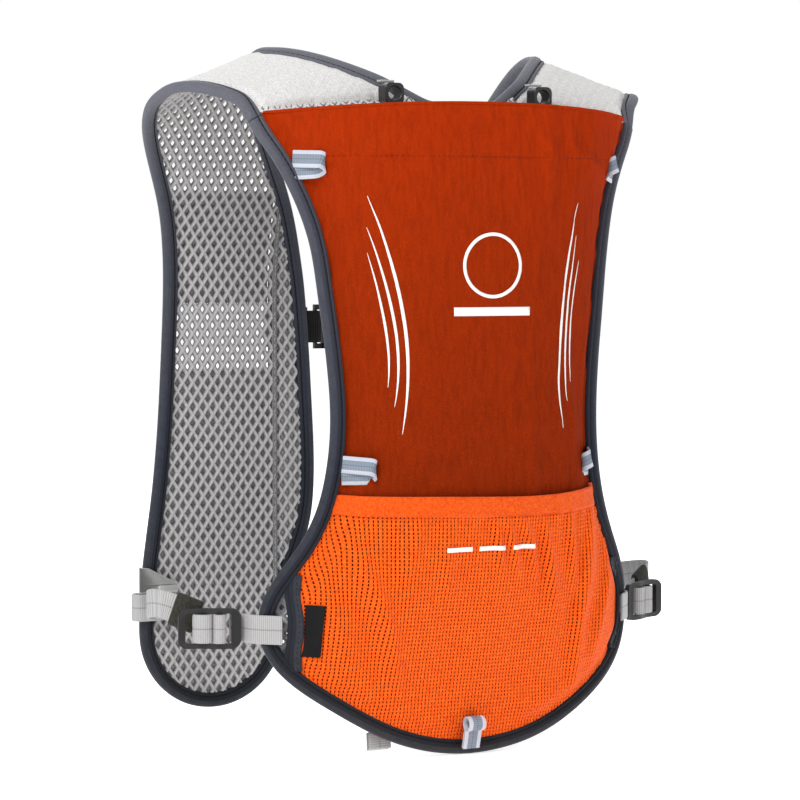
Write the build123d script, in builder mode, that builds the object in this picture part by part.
from build123d import *
import math
import os

# Hydration pack for running: a light vest-style backpack of sewn panels, webbing and moulded buckles.
# Frame: +Z up, +Y towards the wearer's front, +X to the right of someone looking at the pocket side.
# The origin is the bottom centre of the whole pack's box. Units are millimetres.

# ---------------------------------------------------------------- driving dimensions
PANEL_TOP = 343.0            # height of the back panel's top edge at its middle
TOP_CORNER = (119.0, 338.0)  # half width and height of the panel's top corners
PANEL_THICK = 3.0            # spacer mesh of the back panel and straps
BINDING_WIDTH = 8.0          # bound edge tape, measured in from the edge
BINDING_THICK = 7.0          # bound edge of the back panel, through all its layers
STRAP_BINDING_THICK = 6.0    # bound edge of a shoulder strap
SEWN_GAP = 0.2               # clearance left between two sewn layers
FABRIC_THICK = 0.8           # woven pocket fabric
SLEEVE_THICK = 0.6           # reservoir sleeve fabric
COMPARTMENT_DEPTH = 24.0     # how far the main pocket stands off the back panel
FULL_DEPTH_HEIGHT = 150.0    # height at which it reaches that depth
MOUTH_GAPE = 5.0             # how much deeper it is at its open top
POCKET_TOP = 138.0           # top edge of the mesh pocket
HEM_DEPTH = 10.0             # elastic hem of the mesh pocket
SLEEVE_TOP = 215.0           # top edge of the reservoir sleeve
WING_SEAM = 97.0             # half width at which the pocket fabric meets the side wing
WING_SEAM_TOP = 108.0
TAPE_WIDTH = 9.0             # tape over the wing seam
PANEL_BACK = -66.0           # depth of the back panel's middle, on its pocket side
NECK_LEAN = 12.0             # how far the panel leans forward at its top edge
LEAN_START = 260.0           # height at which it starts to lean
WING_WRAP = 19.5             # how far the panel wraps forward 100 mm out from its middle
NECK_WRAP = 11.0             # the same at the top edge

WEBBING_WIDTH = 15.0         # side strap webbing
WEBBING_THICK = 1.3
LASH_WIDTH = 10.0            # lash loop webbing
LASH_THICK = 0.9
LASH_RADIUS = 3.0            # free radius inside a lash loop
STERNUM_WIDTH = 18.0         # chest strap webbing
STERNUM_THICK = 1.2

STRAP_FACE = 75.0            # middle plane of a front strap's flat lower part
STRAP_FLAT_TOP = 250.0       # where the flat part starts to curl back over the shoulder
STRAP_END = (86.0, 55.0)     # centre of a strap's round lower end
STRAP_END_RADIUS = 44.0
SHOULDER_GAP = 1.2           # half of the gap between rear and front half at the shoulder crest
BEYOND = 130.0               # reach of a trimming rectangle, past the sides of the sheet it trims
CENTRE_SHIFT = 1.597         # brings the middle of the pack's depth onto the origin

STERNUM_HEIGHT = 222.0       # rest height of the chest strap
LOCK_PIVOT = (119.7, -30.8, 69.5)   # end bar of a side ladder lock, about which it tilts
LOCK_HEADING = math.radians(28.0)   # a ladder lock lies this far off the X axis

# Half width and height of the back panel's edge, from under the wing to below the top corner.
PANEL_EDGE = [
    (45.0, 8.5), (84.0, 30.0), (108.5, 55.0), (111.5, 78.0), (93.5, 115.0), (82.0, 150.0),
    (80.0, 185.0), (85.5, 240.0), (95.5, 290.0), (108.0, 316.0),
]

# Armhole edge and neck edge of the rear half of a shoulder, from the panel's top to the crest.
YOKE_STATIONS = [
    ((119.0, -33.0, 341.5), (27.0, -50.0, 346.5)),
    ((127.0, -24.0, 346.0), (45.0, -36.0, 357.0)),
    ((136.0, -12.0, 349.0), (62.0, -16.0, 366.0)),
    ((142.0, 2.0, 349.0), (73.0, -2.0, 370.0)),
    ((144.0, 14.0 - SHOULDER_GAP, 346.5), (79.0, 10.0 - SHOULDER_GAP, 371.0)),
]

# The same two edges for the front half, from the crest down to the flat part.
STRAP_STATIONS = [
    ((144.0, 14.0 + SHOULDER_GAP, 345.5), (79.3, 10.0 + SHOULDER_GAP, 371.0)),
    ((143.0, 35.0, 337.0), (79.0, 30.0, 367.0)),
    ((138.0, 48.0, 325.0), (72.0, 44.0, 349.0)),
    ((130.0, 58.0, 309.0), (60.0, 54.0, 325.0)),
    ((122.0, 66.0, 291.0), (47.0, 63.0, 302.0)),
    ((116.5, 72.5, 270.0), (36.0, 71.0, 275.0)),
    ((115.0, STRAP_FACE, STRAP_FLAT_TOP), (30.0, STRAP_FACE, STRAP_FLAT_TOP)),
]

# Outer and inner edge of a strap's flat part, from its top down to its round end and up again.
STRAP_OUTER_EDGE = [(115.0, 250.0), (116.5, 205.0), (122.5, 130.0)]
STRAP_INNER_EDGE = [(27.0, 110.0), (24.0, 160.0), (27.0, 215.0), (30.0, 250.0)]

ACROSS_Y = Vector(0, 1, 0)
DOWN = Vector(0, 0, -1)
SIDES = (("left", -1), ("right", 1))


# ---------------------------------------------------------------- curved surfaces of the sewn body
def ease(t):
    """Smooth step from 0 to 1."""
    t = min(1.0, max(0.0, t))
    return t * t * (3.0 - 2.0 * t)


# The panel's edge as (half width, height), carried on past its lower and upper ends.
LONG_EDGE = [(66.0, -25.0), (76.0, 10.0)] + PANEL_EDGE[1:] + [TOP_CORNER, (129.0, 362.0)]


def edge_slope(k):
    """How fast the half width grows with height at point k of the long edge."""
    before = LONG_EDGE[max(k - 1, 0)]
    after = LONG_EDGE[min(k + 1, len(LONG_EDGE) - 1)]
    return (after[0] - before[0]) / (after[1] - before[1])


def half_width(z):
    """Half width of the back panel at height z, smoothly through the points of the long edge."""
    k = max(i for i in range(len(LONG_EDGE) - 1) if i == 0 or LONG_EDGE[i][1] <= z)
    (w0, z0), (w1, z1) = LONG_EDGE[k], LONG_EDGE[k + 1]
    t = (z - z0) / (z1 - z0)
    bend = edge_slope(k) * t * (1 - t) ** 2 - edge_slope(k + 1) * t * t * (1 - t)
    return w0 + (w1 - w0) * ease(t) + (z1 - z0) * bend


def panel_y(x, z):
    """Pocket-side surface of the back panel: it wraps forward at the sides and leans forward at the neck."""
    lean = NECK_LEAN * max(0.0, (z - LEAN_START) / (PANEL_TOP - LEAN_START)) ** 2
    wrap = WING_WRAP + (NECK_WRAP - WING_WRAP) * ease((z - 280.0) / (PANEL_TOP - 280.0))
    return PANEL_BACK + lean + wrap * (abs(x) / 100.0) ** 4


def bulge(x, z):
    """How far the main pocket stands off the panel: nothing at its sewn edges, deepest along the middle."""
    share = abs(x) / (half_width(z) - 0.85 * BINDING_WIDTH)
    gape = MOUTH_GAPE * ease((z - LEAN_START) / (PANEL_TOP - LEAN_START))
    depth = COMPARTMENT_DEPTH * ease(z / FULL_DEPTH_HEIGHT) + gape
    return depth * (1.0 - share ** 2.6)


def sleeve_y(x, z):
    return panel_y(x, z) - SEWN_GAP - SLEEVE_THICK - 0.4 * bulge(x, z)


def main_face_y(x, z):
    return panel_y(x, z) - 2 * SEWN_GAP - SLEEVE_THICK - FABRIC_THICK - bulge(x, z)


def mesh_pocket_y(x, z):
    fullness = 0.22 * bulge(x, z) * math.sin(math.pi * min(1.0, z / FULL_DEPTH_HEIGHT))
    return main_face_y(x, z) - SEWN_GAP - FABRIC_THICK - fullness


BACK_AREA = (-126.0, 126.0, -6.0, 350.0)  # x and z ranges of the surfaces of the back


def curved_face(surface_y, area, columns=29, rows=25):
    """A smooth face through surface_y(x, z) over an area of x and z."""
    left, right, bottom, top = area
    grid = []
    for row in range(rows):
        z = bottom + (top - bottom) * row / (rows - 1)
        xs = [left + (right - left) * column / (columns - 1) for column in range(columns)]
        grid.append([(x, surface_y(x, z), z) for x in xs])
    return Face.make_surface_from_array_of_points(grid)


def keep_layer(surface_y, thickness, area=BACK_AREA):
    """Keeps only the layer between surface_y and surface_y + thickness of the prism being built."""
    layer = extrude(curved_face(surface_y, area), amount=thickness, dir=ACROSS_Y, mode=Mode.PRIVATE)
    add(layer, mode=Mode.INTERSECT)


def edge_points(inset):
    """The panel's edge from its bottom middle to its right top corner, moved in square to the edge."""
    edge = [(0.0, 0.0)] + PANEL_EDGE + [TOP_CORNER]
    moved = [(0.0, inset)]
    for before, here, after in zip(edge, edge[1:], edge[2:]):
        run = Vector(after[0] - before[0], after[1] - before[1]).normalized()
        moved.append((here[0] - inset * run.Y, here[1] + inset * run.X))
    moved.append((TOP_CORNER[0] - 1.08 * inset, TOP_CORNER[1]))
    return moved


def panel_outline(inset=0.0):
    """The back panel's outline on the current sketch, its sides and bottom moved in by inset."""
    right = edge_points(inset)
    left = [(-x, z) for x, z in reversed(right)]
    with BuildLine() as edge:
        Spline(*right, tangents=[(1, 0), (0.4, 1)])
        ThreePointArc(right[-1], (0, PANEL_TOP), left[0])
        Spline(*left, tangents=[(0.4, -1), (1, 0)])
    make_face(edge.edges())


def prism_through():
    """Carries the current XZ sketch through the whole depth of the pack."""
    extrude(amount=120, both=True)


def cut_box(x0, x1, z0, z1, mode=Mode.SUBTRACT):
    """A rectangle in X and Z, for trimming an XZ sketch."""
    with Locations(((x0 + x1) / 2, (z0 + z1) / 2)):
        Rectangle(x1 - x0, z1 - z0, mode=mode)


# ---------------------------------------------------------------- ribbons along a path of stations
def ribbon(stations, low, high, thickness, end_travel=None):
    """Lofts a flat strip along stations of (outer edge, inner edge) points.

    low and high are distances in from the outer edge; a negative one is measured from the inner edge.
    end_travel is the strip's direction at its last station, where a flat part carries on from it.
    """
    middles = [(Vector(*outer) + Vector(*inner)) * 0.5 for outer, inner in stations]
    last = len(stations) - 1
    sections = []
    for i, (outer, inner) in enumerate(stations):
        outer = Vector(*outer)
        inner = Vector(*inner)
        across = (inner - outer).normalized()
        width = (inner - outer).length
        start = low if low >= 0 else width + low
        stop = high if high > 0 else width + high
        travel = middles[min(i + 1, last)] - middles[max(i - 1, 0)]
        if i == last and end_travel:
            travel = end_travel
        travel = (travel - across * travel.dot(across)).normalized()
        section = Plane(origin=outer + across * ((start + stop) / 2), x_dir=across, z_dir=travel)
        with BuildSketch(section) as profile:
            Rectangle(stop - start, thickness)
        sections.append(profile.sketch.face())
    loft(sections)


def on_side(stations, side):
    """Stations of the right half, or of the left half when side is -1."""
    return [((side * a[0], a[1], a[2]), (side * b[0], b[1], b[2])) for a, b in stations]


def save(piece, label):
    """Moves a finished piece so that the pack's box is centred on the origin, and writes it."""
    piece.part.move(Location((0, CENTRE_SHIFT, 0)))
    piece.part.label = label
    export_step(piece.part, f"parts/{label}.step")


os.makedirs("parts", exist_ok=True)

# ================================================================ sewn body
layer_inset = BINDING_WIDTH + 0.1  # edge of a layer that lies inside a binding
strap_inset = BINDING_WIDTH + 0.5  # the same inside a shoulder strap's binding
back_neck = 26.0                   # half width of the bound neck edge between the shoulders

with BuildPart() as back_panel:
    with BuildSketch(Plane.XZ):
        panel_outline(layer_inset)
        cut_box(-back_neck - 0.2, back_neck + 0.2, PANEL_TOP - layer_inset, PANEL_TOP + 10)
    prism_through()
    keep_layer(panel_y, PANEL_THICK)
save(back_panel, "back_panel")

with BuildPart() as back_panel_binding:
    with BuildSketch(Plane.XZ):
        panel_outline()
        with BuildSketch(mode=Mode.PRIVATE) as inner:
            panel_outline(BINDING_WIDTH)
        add(inner.sketch_local, mode=Mode.SUBTRACT)
        cut_box(-TOP_CORNER[0] + 11, TOP_CORNER[0] - 11, TOP_CORNER[1] - 4, PANEL_TOP + 5)
    prism_through()
    keep_layer(lambda x, z: panel_y(x, z) - (BINDING_THICK - PANEL_THICK) + 0.7, BINDING_THICK)
save(back_panel_binding, "back_panel_binding")

with BuildPart() as neck_binding:
    with BuildSketch(Plane.XZ):
        cut_box(-back_neck, back_neck, PANEL_TOP - BINDING_WIDTH, PANEL_TOP, mode=Mode.ADD)
    prism_through()
    keep_layer(lambda x, z: panel_y(x, z) - 1.0, PANEL_THICK + 2.0)
save(neck_binding, "neck_binding")


def pocket_outline(top):
    """Outline of a pocket layer: inside the binding, ending at the wing seam, with its own top edge."""
    panel_outline(layer_inset)
    cut_box(-BEYOND, BEYOND, top, 360)
    for side in (-1, 1):
        x_range = sorted((side * WING_SEAM, side * BEYOND))
        cut_box(*x_range, -10, WING_SEAM_TOP)


with BuildPart() as main_pocket_face:
    with BuildSketch(Plane.XZ):
        pocket_outline(PANEL_TOP - 1.5)
    prism_through()
    keep_layer(main_face_y, FABRIC_THICK)
save(main_pocket_face, "main_pocket_face")

with BuildPart() as reservoir_sleeve:
    with BuildSketch(Plane.XZ):
        pocket_outline(SLEEVE_TOP)
    prism_through()
    keep_layer(sleeve_y, SLEEVE_THICK)
save(reservoir_sleeve, "reservoir_sleeve")

with BuildPart() as mesh_pocket:
    with BuildSketch(Plane.XZ):
        pocket_outline(POCKET_TOP - HEM_DEPTH)
    prism_through()
    keep_layer(mesh_pocket_y, FABRIC_THICK)
save(mesh_pocket, "mesh_pocket")

with BuildPart() as mesh_pocket_elastic:
    with BuildSketch(Plane.XZ):
        pocket_outline(POCKET_TOP)
        cut_box(-BEYOND, BEYOND, -10, POCKET_TOP - HEM_DEPTH + SEWN_GAP)
    prism_through()
    keep_layer(lambda x, z: mesh_pocket_y(x, z) - 0.8, FABRIC_THICK + 0.8)
save(mesh_pocket_elastic, "mesh_pocket_elastic")


def build_wing_tape(name, side):
    """Tape sewn over the seam between pocket fabric and side wing."""
    with BuildPart() as wing_tape:
        with BuildSketch(Plane.XZ):
            panel_outline(layer_inset)
            band = sorted((side * (WING_SEAM - TAPE_WIDTH / 2), side * (WING_SEAM + TAPE_WIDTH / 2)))
            cut_box(*band, 20, WING_SEAM_TOP - 4, mode=Mode.INTERSECT)
        prism_through()
        keep_layer(lambda x, z: mesh_pocket_y(x, z) - SEWN_GAP - 0.8, 0.8)
    save(wing_tape, f"wing_tape_{name}")


def build_yoke(name, side):
    """Rear half of a shoulder, from the panel's top edge to the crest."""
    stations = on_side(YOKE_STATIONS, side)
    with BuildPart() as yoke:
        ribbon(stations, strap_inset, -strap_inset, PANEL_THICK)
    save(yoke, f"yoke_{name}")
    with BuildPart() as yoke_binding:
        ribbon(stations, 0, BINDING_WIDTH, STRAP_BINDING_THICK)
        ribbon(stations, -BINDING_WIDTH, 0, STRAP_BINDING_THICK)
    save(yoke_binding, f"yoke_binding_{name}")


def strap_outline(side, inset=0.0):
    """Outline of a front strap's flat part, moved in by inset everywhere but at its top."""
    cx, cz = STRAP_END
    r = STRAP_END_RADIUS - inset
    outer = [(x - inset, z) for x, z in STRAP_OUTER_EDGE] + [(cx + r, cz + 4)]
    inner = [(cx - r, cz)] + [(x + inset, z) for x, z in STRAP_INNER_EDGE]
    outer = [(side * x, z) for x, z in outer]
    inner = [(side * x, z) for x, z in inner]
    with BuildLine() as edge:
        Spline(*outer, tangents=[(0, -1), (0, -1)])
        ThreePointArc(outer[-1], (side * cx, cz - r), inner[0])
        Spline(*inner, tangents=[(0, 1), (side * 0.1, 1)])
        Line(inner[-1], outer[0])
    make_face(edge.edges())


def strap_plane(y):
    """XZ plane at depth y, whose sketches extrude towards -Y."""
    return Plane.XZ.offset(-y)


def build_strap(name, side):
    """Front half of a shoulder strap with its bound edge."""
    stations = on_side(STRAP_STATIONS, side)
    with BuildPart() as strap_panel:
        ribbon(stations, strap_inset, -strap_inset, PANEL_THICK, DOWN)
        with BuildSketch(strap_plane(STRAP_FACE + PANEL_THICK / 2)):
            strap_outline(side, strap_inset)
        extrude(amount=PANEL_THICK)
    save(strap_panel, f"strap_panel_{name}")
    with BuildPart() as strap_binding:
        ribbon(stations, 0, BINDING_WIDTH, STRAP_BINDING_THICK, DOWN)
        ribbon(stations, -BINDING_WIDTH, 0, STRAP_BINDING_THICK, DOWN)
        with BuildSketch(strap_plane(STRAP_FACE + STRAP_BINDING_THICK / 2)):
            strap_outline(side)
            with BuildSketch(mode=Mode.PRIVATE) as inner:
                strap_outline(side, BINDING_WIDTH)
            add(inner.sketch_local, mode=Mode.SUBTRACT)
        extrude(amount=STRAP_BINDING_THICK)
    save(strap_binding, f"strap_binding_{name}")


# ================================================================ pockets on the front straps
FLASK_BOTTOM = 30.0
FLASK_TOP = 190.0
FLASK_ELASTIC = 8.0        # height of the elastic band round the flask pocket's mouth
FLASK_DEPTH = 13.0
UPPER_BOTTOM = 236.0
UPPER_STAND_OFF = 3.0      # the upper pocket's fabric lies this far in front of the strap's middle
POCKET_INNER_X = 51.5      # the pockets stop here, clear of the chest strap's rail
RAIL_X = 45.0              # half the distance between the two rails


def flask_pocket_y(side):
    """Inner surface of a flask pocket: level with the strap at its edges, open at its top."""
    base = STRAP_FACE + PANEL_THICK / 2 + SEWN_GAP

    def surface(x, z):
        outer_edge = 108.0 + 14.5 * ease((205.0 - z) / 150.0)  # just inside the strap's outer binding
        half = (outer_edge - POCKET_INNER_X) / 2 + 1.0
        share = abs(side * x - (outer_edge + POCKET_INNER_X) / 2) / half
        rise = ease((z - FLASK_BOTTOM) / (0.6 * (FLASK_TOP - FLASK_BOTTOM)))
        return base + FLASK_DEPTH * rise * (1.0 - share ** 2)

    return surface


def strap_area(side):
    """x and z ranges of the surfaces of a strap's pockets."""
    return (*sorted((side * 36.0, side * 136.0)), 8.0, 262.0)


def build_flask_layer(label, side, bottom, top, thickness):
    """One layer of a flask pocket between two heights."""
    with BuildPart() as layer:
        with BuildSketch(Plane.XZ):
            strap_outline(side, layer_inset)
            cut_box(-BEYOND, BEYOND, top, 300)
            cut_box(-BEYOND, BEYOND, 0, bottom)
            cut_box(*sorted((0, side * POCKET_INNER_X)), 0, 300)
        prism_through()
        keep_layer(flask_pocket_y(side), thickness, strap_area(side))
    save(layer, label)


def build_flask_pocket(name, side):
    """Stretch pocket for a soft flask, with an elastic band round its mouth."""
    build_flask_layer(f"flask_pocket_{name}", side, FLASK_BOTTOM, FLASK_TOP, FABRIC_THICK)
    low, high = FLASK_TOP + SEWN_GAP, FLASK_TOP + FLASK_ELASTIC
    build_flask_layer(f"flask_pocket_elastic_{name}", side, low, high, 2 * FABRIC_THICK)


def build_upper_pocket(name, side):
    """Flat pocket above the flask pocket, running up the strap's curve; open at its top."""
    pocket_inset = strap_inset + 1.5
    flat_end = ((115.0, STRAP_FACE, UPPER_BOTTOM), (30.0, STRAP_FACE, UPPER_BOTTOM))
    stations = []
    for outer, inner in STRAP_STATIONS[-3:] + [flat_end]:
        outer = Vector(*outer) + ACROSS_Y * UPPER_STAND_OFF
        inner = Vector(*inner) + ACROSS_Y * UPPER_STAND_OFF
        beside_rail = (outer.X - POCKET_INNER_X) / (outer.X - inner.X)
        beside_binding = 1.0 - pocket_inset / (inner - outer).length
        stations.append((tuple(outer), tuple(outer + (inner - outer) * min(beside_rail, beside_binding))))
    with BuildPart() as pocket:
        ribbon(on_side(stations, side), pocket_inset, 0, FABRIC_THICK, DOWN)
    save(pocket, f"upper_pocket_{name}")


# ================================================================ chest strap
RAIL_BOTTOM = 184.0
RAIL_TOP = 249.0
RAIL_CORD_Y = 80.0
RAIL_CORD_RADIUS = 1.5
SLIDER_HALF = 11.0
SLIDER_BAR_X = 26.0
STERNUM_Y = 85.0


def build_rail(name, side):
    """Sewn tape with a corded edge that a chest strap slider runs on."""
    tape_y = STRAP_FACE + PANEL_THICK / 2 + SEWN_GAP
    x = side * RAIL_X
    with BuildPart() as rail:
        with BuildSketch(Plane.XY.offset(RAIL_BOTTOM)):
            with Locations((x, tape_y + 0.5)):
                Rectangle(11, 1.0)
            with Locations((x, (tape_y + RAIL_CORD_Y) / 2)):
                Rectangle(0.9, RAIL_CORD_Y - tape_y)
            with Locations((x, RAIL_CORD_Y)):
                Circle(RAIL_CORD_RADIUS)
        extrude(amount=RAIL_TOP - RAIL_BOTTOM)
    save(rail, f"sternum_rail_{name}")


def build_slider(name, side):
    """Slider: a C-shaped clip on the rail's cord, and a bar for the chest strap webbing."""
    x = side * RAIL_X
    bar_x = side * SLIDER_BAR_X
    with BuildPart() as slider:
        with BuildSketch(Plane.XY.offset(STERNUM_HEIGHT - SLIDER_HALF)):
            with Locations((x, RAIL_CORD_Y + 1.2)):
                RectangleRounded(8.4, 6.6, 1.6)
            with Locations((x, RAIL_CORD_Y)):
                Circle(RAIL_CORD_RADIUS + 0.25, mode=Mode.SUBTRACT)
            with Locations((x, RAIL_CORD_Y - 3)):
                Rectangle(1.5, 6, mode=Mode.SUBTRACT)
            with Locations(((x + bar_x) / 2 - side * 0.6, STERNUM_Y)):
                RectangleRounded(abs(x - bar_x) + 6.0, 2.6, 1.2)
        extrude(amount=2 * SLIDER_HALF)
        with BuildSketch(strap_plane(STERNUM_Y + 5)):
            with Locations((side * (SLIDER_BAR_X + 4.2), STERNUM_HEIGHT)):
                RectangleRounded(5.6, STERNUM_WIDTH + 2.4, 0.8)
        extrude(amount=10, mode=Mode.SUBTRACT)
    save(slider, f"sternum_slider_{name}")


LOOP_RADIUS = 1.9  # free radius of a webbing loop round a bar


def build_sternum_loop(label, x0, x1):
    """Chest strap webbing, sewn into a flat loop round two bars."""
    with BuildPart() as loop:
        with BuildSketch(Plane.XY.offset(STERNUM_HEIGHT - STERNUM_WIDTH / 2)):
            with Locations(((x0 + x1) / 2, STERNUM_Y)):
                SlotCenterToCenter(abs(x1 - x0), 2 * (LOOP_RADIUS + STERNUM_THICK))
                SlotCenterToCenter(abs(x1 - x0), 2 * LOOP_RADIUS, mode=Mode.SUBTRACT)
        extrude(amount=STERNUM_WIDTH)
    save(loop, label)


BUCKLE_HALF = 12.5           # half height of the side release buckle
SHELL_X = (-13.0, 7.0)       # closed part of the female half
FEMALE_BAR_X = -17.0
MALE_BAR_X = 17.0
PRONG_ROOT_X = 8.2
PRONG_Z = 5.8


def build_buckle_female():
    with BuildPart() as female:
        with BuildSketch(Plane.XY.offset(STERNUM_HEIGHT - BUCKLE_HALF)):
            with Locations(((SHELL_X[0] + SHELL_X[1]) / 2, STERNUM_Y)):
                RectangleRounded(SHELL_X[1] - SHELL_X[0], 8.0, 2.4)
            with Locations(((FEMALE_BAR_X + SHELL_X[0]) / 2, STERNUM_Y)):
                Rectangle(abs(FEMALE_BAR_X - SHELL_X[0]) + 2.4, 2.6)
        extrude(amount=2 * BUCKLE_HALF)
        # opening for the webbing beside the bar
        with BuildSketch(strap_plane(STERNUM_Y + 6)):
            with Locations(((FEMALE_BAR_X + SHELL_X[0]) / 2 + 0.1, STERNUM_HEIGHT)):
                Rectangle(3.6, STERNUM_WIDTH + 1.2)
        extrude(amount=12, mode=Mode.SUBTRACT)
        # cavity that takes the prongs, open towards the male half
        with BuildSketch(Plane.YZ.offset(SHELL_X[0] + 1.8)):
            with Locations((STERNUM_Y, STERNUM_HEIGHT)):
                Rectangle(4.6, 2 * (BUCKLE_HALF - 2.0))
        extrude(amount=30, mode=Mode.SUBTRACT)
        # side windows where the prongs' barbs show and are squeezed
        with BuildSketch(strap_plane(STERNUM_Y + 2.3)):
            with Locations((-3.5, STERNUM_HEIGHT)):
                Rectangle(11.0, 2 * BUCKLE_HALF + 4)
        extrude(amount=4.6, mode=Mode.SUBTRACT)
    save(female, "buckle_female")


def build_buckle_male():
    with BuildPart() as male:
        with BuildSketch(Plane.XY.offset(STERNUM_HEIGHT - BUCKLE_HALF + 0.5)):
            with Locations(((PRONG_ROOT_X + 0.6 + MALE_BAR_X + 1.3) / 2, STERNUM_Y)):
                RectangleRounded(MALE_BAR_X + 1.3 - PRONG_ROOT_X - 0.6, 2.8, 1.2)
        extrude(amount=2 * BUCKLE_HALF - 1)
        with BuildSketch(strap_plane(STERNUM_Y + 6)):
            with Locations((MALE_BAR_X - 3.9, STERNUM_HEIGHT)):
                RectangleRounded(5.2, STERNUM_WIDTH + 2.4, 0.8)
        extrude(amount=12, mode=Mode.SUBTRACT)
    save(male, "buckle_male")


def build_prong(label, up):
    """One springy prong of the male half, with the barb that latches in the female half's window."""
    z = STERNUM_HEIGHT
    outline = [
        (PRONG_ROOT_X, PRONG_Z - 1.6), (-9.5, PRONG_Z - 1.0), (-9.5, PRONG_Z + 1.2),
        (-7.0, BUCKLE_HALF + 0.8), (0.5, BUCKLE_HALF + 0.2), (1.0, PRONG_Z + 2.4),
        (PRONG_ROOT_X, PRONG_Z + 1.6),
    ]
    with BuildPart() as prong:
        with BuildSketch(strap_plane(STERNUM_Y + 1.8)):
            with BuildLine():
                Polyline(*[(x, z + up * height) for x, height in outline], close=True)
            make_face()
            fillet(vertices().sort_by(Axis.X)[:4], 0.6)
        extrude(amount=3.6)
    save(prong, label)


# ================================================================ side straps
def lock_plane(side):
    """Plane seen along a ladder lock's bars: x runs along the lock, y points outwards."""
    heading = Vector(side * math.cos(LOCK_HEADING), math.sin(LOCK_HEADING), 0)
    origin = Vector(side * LOCK_PIVOT[0], LOCK_PIVOT[1], LOCK_PIVOT[2])
    return Plane(origin=origin, x_dir=heading, z_dir=(0, 0, -side))


def lock_point(side, along, out, z):
    """A point beside a ladder lock, as (x, y, z)."""
    point = lock_plane(side).from_local_coords((along, out, 0))
    return (point.X, point.Y, z)


LOCK_LENGTH = 31.0
LOCK_HALF_WIDTH = 10.5
LOCK_THICK = 2.6
LOCK_WINDOWS = ((3.2, 8.0), (10.5, 16.0), (20.0, 27.0))  # start and end of each, along the lock
LOCK_INNER_BAR = (9.25, 1.15)  # middle of the bar between the first two windows, along and out
LOCK_TURN_RADIUS = 2.05  # free radius of the webbing turned round that bar


def build_ladder_lock(name, side):
    """Ladder lock: a curved frame with four bars, and the webbing turned round its two inner bars."""
    seen_from_end = lock_plane(side)
    outward = seen_from_end.y_dir
    face_on = Plane(origin=seen_from_end.origin, x_dir=seen_from_end.x_dir, z_dir=outward)
    with BuildPart() as lock:
        with BuildSketch(seen_from_end):
            with BuildLine():
                Spline((-2.2, 0), (3, 0.1), (9, 1.2), (17, 0.1), (25, 0.9), (LOCK_LENGTH, 3.0))
            trace(line_width=LOCK_THICK)
        extrude(amount=LOCK_HALF_WIDTH, both=True)
        with BuildSketch(face_on):
            with Locations(((LOCK_LENGTH - 2.2) / 2, 0)):
                RectangleRounded(LOCK_LENGTH + 1.6, 2 * LOCK_HALF_WIDTH, 5.0)
        extrude(amount=12, both=True, mode=Mode.INTERSECT)
        with BuildSketch(face_on):
            for start, stop in LOCK_WINDOWS:
                with Locations(((start + stop) / 2, 0)):
                    RectangleRounded(stop - start, WEBBING_WIDTH + 0.8, 1.2)
        extrude(amount=12, both=True, mode=Mode.SUBTRACT)
    save(lock, f"ladderlock_{name}")
    with BuildPart() as wrap:
        with BuildSketch(seen_from_end):
            with Locations((18, 0.3)):
                Ellipse(5.4, 3.9)
                Ellipse(5.4 - WEBBING_THICK, 3.9 - WEBBING_THICK, mode=Mode.SUBTRACT)
            with Locations(LOCK_INNER_BAR):
                Circle(LOCK_TURN_RADIUS + WEBBING_THICK)
                Circle(LOCK_TURN_RADIUS, mode=Mode.SUBTRACT)
        extrude(amount=WEBBING_WIDTH / 2, both=True)
    save(wrap, f"ladderlock_wrap_{name}")


def build_wing_webbing(name, side):
    """Webbing sewn on the wing's edge; it dips under the ladder lock's end bar, the lock's tilt axis."""
    with BuildPart() as webbing:
        with BuildSketch(lock_plane(side)):
            with BuildLine():
                Spline(
                    (-23.5, 8.9), (-17, 7.0), (-11.6, 5.2), (-7.2, 2.35),
                    (-3.9, -1.35), (0, -3.35), (4.5, -3.6),
                )
            trace(line_width=WEBBING_THICK)
        extrude(amount=WEBBING_WIDTH / 2, both=True)
    save(webbing, f"wing_webbing_{name}")


def side_stations(side, first, last, count, half):
    """Stations of the side strap between two shares of its length; half is half of the width to draw.

    The strap leaves from behind the ladder lock and runs forward to its anchor on the front strap.
    """
    start = Vector(*lock_point(side, 16, -7.0, 72.0))
    straight_end = Vector(*lock_point(side, 36, -8.0, 80.0))
    bend = Vector(side * 150.0, 26.0, 76.0)
    finish = Vector(side * 124.5, 66.5, 71.0)
    stations = []
    for i in range(count):
        t = first + (last - first) * i / (count - 1)
        if t < 0.3:
            point = start + (straight_end - start) * (t / 0.3)
        else:
            u = (t - 0.3) / 0.7
            lead = straight_end + (straight_end - start) * 0.55
            point = (
                straight_end * (1 - u) ** 3 + lead * (3 * u * (1 - u) ** 2)
                + bend * (3 * u * u * (1 - u)) + finish * u ** 3
            )
        stations.append(((point.X, point.Y, point.Z - half), (point.X, point.Y, point.Z + half)))
    return stations


def build_side_webbing(name, side):
    with BuildPart() as webbing:
        ribbon(side_stations(side, 0.0, 1.0, 14, WEBBING_WIDTH / 2), 0, WEBBING_WIDTH, WEBBING_THICK)
    save(webbing, f"side_webbing_{name}")


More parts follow.
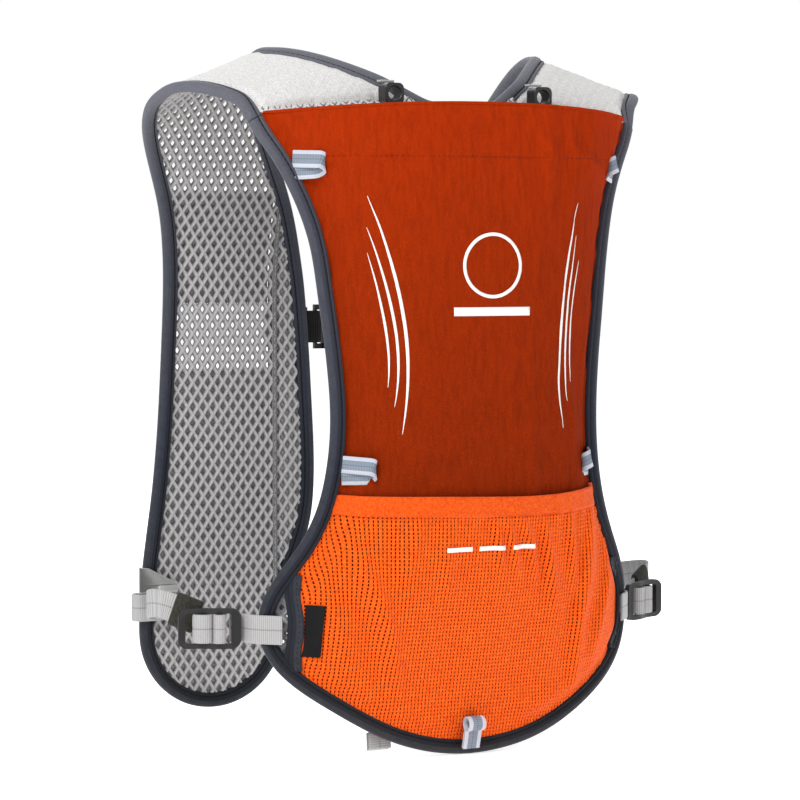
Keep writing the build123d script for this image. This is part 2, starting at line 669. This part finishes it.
def build_keeper(name, side):
    """Elastic sleeve that holds the webbing's loose end."""
    inner_half = WEBBING_WIDTH / 2 + 0.5  # half height of the hollow, a loose fit on the webbing
    outer_half = inner_half + 1.1
    with BuildPart() as keeper:
        ribbon(side_stations(side, 0.10, 0.26, 3, outer_half), 0, 2 * outer_half, 4.6)
        with BuildPart(mode=Mode.PRIVATE) as hollow:
            ribbon(side_stations(side, 0.08, 0.28, 3, inner_half), 0, 2 * inner_half, 2.2)
        add(hollow.part, mode=Mode.SUBTRACT)
    save(keeper, f"keeper_{name}")


def build_strap_anchor(name, side):
    """Webbing folded round the front strap's edge, and the triangular tab above it."""
    back = STRAP_FACE - STRAP_BINDING_THICK / 2 - SEWN_GAP - WEBBING_THICK / 2
    front = STRAP_FACE + STRAP_BINDING_THICK / 2 + SEWN_GAP + WEBBING_THICK / 2
    edge = 129.4  # where the fold starts, just inside the strap's outer edge
    with BuildPart() as anchor:
        with BuildSketch(Plane.XY.offset(62)):
            with BuildLine():
                run = Line((side * 118, back), (side * edge, back))
                turn = ThreePointArc(run @ 1, (side * (edge + 4.2), STRAP_FACE), (side * edge, front))
                Line(turn @ 1, (side * 123.5, front))
            trace(line_width=WEBBING_THICK)
        extrude(amount=WEBBING_WIDTH)
    save(anchor, f"strap_anchor_{name}")
    with BuildPart() as tab:
        with BuildSketch(strap_plane(back + 0.6)):
            with BuildLine():
                Polyline(
                    *[(side * x, z) for x, z in ((132, 77.5), (132, 92), (126, 91), (109, 82), (109, 77.5))],
                    close=True,
                )
            make_face()
        extrude(amount=1.2)
    save(tab, f"strap_tab_{name}")


# ================================================================ loops, tabs and clips
def build_side_lash_loop(label, side, z):
    """Folded webbing loop sewn in at the bound edge; a cord runs up through it."""
    edge = half_width(z) - BINDING_WIDTH

    def clear_y(x):
        """The main face's furthest point out over the loop's height."""
        return min(main_face_y(x, z - LASH_WIDTH / 2), main_face_y(x, z + LASH_WIDTH / 2))

    ring_x = edge - 7.0
    ring_y = clear_y(ring_x) - LASH_RADIUS - LASH_THICK - 2.2
    leg = [
        (side * (edge + 2), panel_y(edge, z) - 5.8),
        (side * (edge - 3), clear_y(edge - 3) - 2.4),
        (side * (ring_x + 2.4), ring_y + 2.4),
    ]
    with BuildPart() as loop:
        with BuildSketch(Plane.XY.offset(z - LASH_WIDTH / 2)):
            with BuildLine():
                Polyline(*leg)
            trace(line_width=1.6)
            with Locations((side * ring_x, ring_y)):
                Circle(LASH_RADIUS + LASH_THICK)
                Circle(LASH_RADIUS, mode=Mode.SUBTRACT)
        extrude(amount=LASH_WIDTH)
    save(loop, label)


def build_bottom_lash_loop():
    ring_z = 17.5  # height of the ring's centre
    ring_y = mesh_pocket_y(0, ring_z) - LASH_RADIUS - LASH_THICK - 2.2
    with BuildPart() as loop:
        with BuildSketch(Plane.YZ.offset(-9.0)):
            with BuildLine():
                Line((panel_y(0, 5) - 5.6, 4), (ring_y + 1.6, ring_z - 3.2))
            trace(line_width=1.8)
            with Locations((ring_y, ring_z)):
                Circle(LASH_RADIUS + LASH_THICK)
                Circle(LASH_RADIUS, mode=Mode.SUBTRACT)
        extrude(amount=LASH_WIDTH)
    save(loop, "lash_loop_bottom")


HOSE_CLIP = (44.5, -59.2, 346.2)  # centre of the right hose clip
HOSE_CLIP_SIZE = 11.0
HOSE_CLIP_DEPTH = 8.0
HOSE_RADIUS = 3.6
HOSE_TAB_WIDTH = 8.0


def build_hose_clip(name, side):
    """Small moulded ring for the drinking hose at the neck edge, and the webbing tab that holds it."""
    x, y, z = HOSE_CLIP
    with BuildPart() as clip:
        with BuildSketch(strap_plane(y + HOSE_CLIP_DEPTH / 2)):
            with Locations((side * x, z)):
                RectangleRounded(HOSE_CLIP_SIZE, HOSE_CLIP_SIZE, 3)
                Circle(HOSE_RADIUS, mode=Mode.SUBTRACT)
        extrude(amount=HOSE_CLIP_DEPTH)
        chamfer(clip.edges().filter_by(GeomType.CIRCLE).group_by(Axis.Y)[0], 0.4)
    save(clip, f"hose_clip_{name}")
    clip_back = y + HOSE_CLIP_DEPTH / 2
    with BuildPart() as tab:
        with BuildSketch(Plane.YZ.offset(side * x - HOSE_TAB_WIDTH / 2)):
            with BuildLine():
                rise = Line((clip_back + 4.4, z - 0.9), (clip_back + 4.4, z + 5.0))
                turn = ThreePointArc(rise @ 1, (clip_back + 2.6, z + 6.8), (clip_back + 0.8, z + 5.0))
                Line(turn @ 1, (clip_back + 0.8, z - 1.4))
            trace(line_width=1.1)
        extrude(amount=HOSE_TAB_WIDTH)
    save(tab, f"hose_tab_{name}")


with BuildPart() as hem_tab:
    with BuildSketch(Plane.YZ.offset(-58)):
        with BuildLine():
            Polyline((-58.5, 14), (-59.5, 6), (-57.5, 5.2), (-56.6, 14))
        trace(line_width=1.0)
    extrude(amount=13)
save(hem_tab, "hem_tab")

with BuildPart() as side_label:
    with BuildSketch(Plane.XZ):
        cut_box(-92.2, -85.2, 56.0, 83.0, mode=Mode.ADD)
    prism_through()
    keep_layer(lambda x, z: mesh_pocket_y(x, z) - SEWN_GAP - 0.5, 0.5)
save(side_label, "side_label")

for side_name, side_sign in SIDES:
    build_wing_tape(side_name, side_sign)
    build_yoke(side_name, side_sign)
    build_strap(side_name, side_sign)
    build_flask_pocket(side_name, side_sign)
    build_upper_pocket(side_name, side_sign)
    build_rail(side_name, side_sign)
    build_slider(side_name, side_sign)
    build_ladder_lock(side_name, side_sign)
    build_wing_webbing(side_name, side_sign)
    build_side_webbing(side_name, side_sign)
    build_keeper(side_name, side_sign)
    build_strap_anchor(side_name, side_sign)
    build_side_lash_loop(f"lash_loop_upper_{side_name}", side_sign, 309.0)
    build_side_lash_loop(f"lash_loop_lower_{side_name}", side_sign, 152.0)
    build_hose_clip(side_name, side_sign)

build_bottom_lash_loop()
build_sternum_loop("sternum_elastic_left", -SLIDER_BAR_X, FEMALE_BAR_X)
build_sternum_loop("sternum_webbing_right", MALE_BAR_X, SLIDER_BAR_X)
build_buckle_female()
build_buckle_male()
build_prong("buckle_prong_upper", 1)
build_prong("buckle_prong_lower", -1)
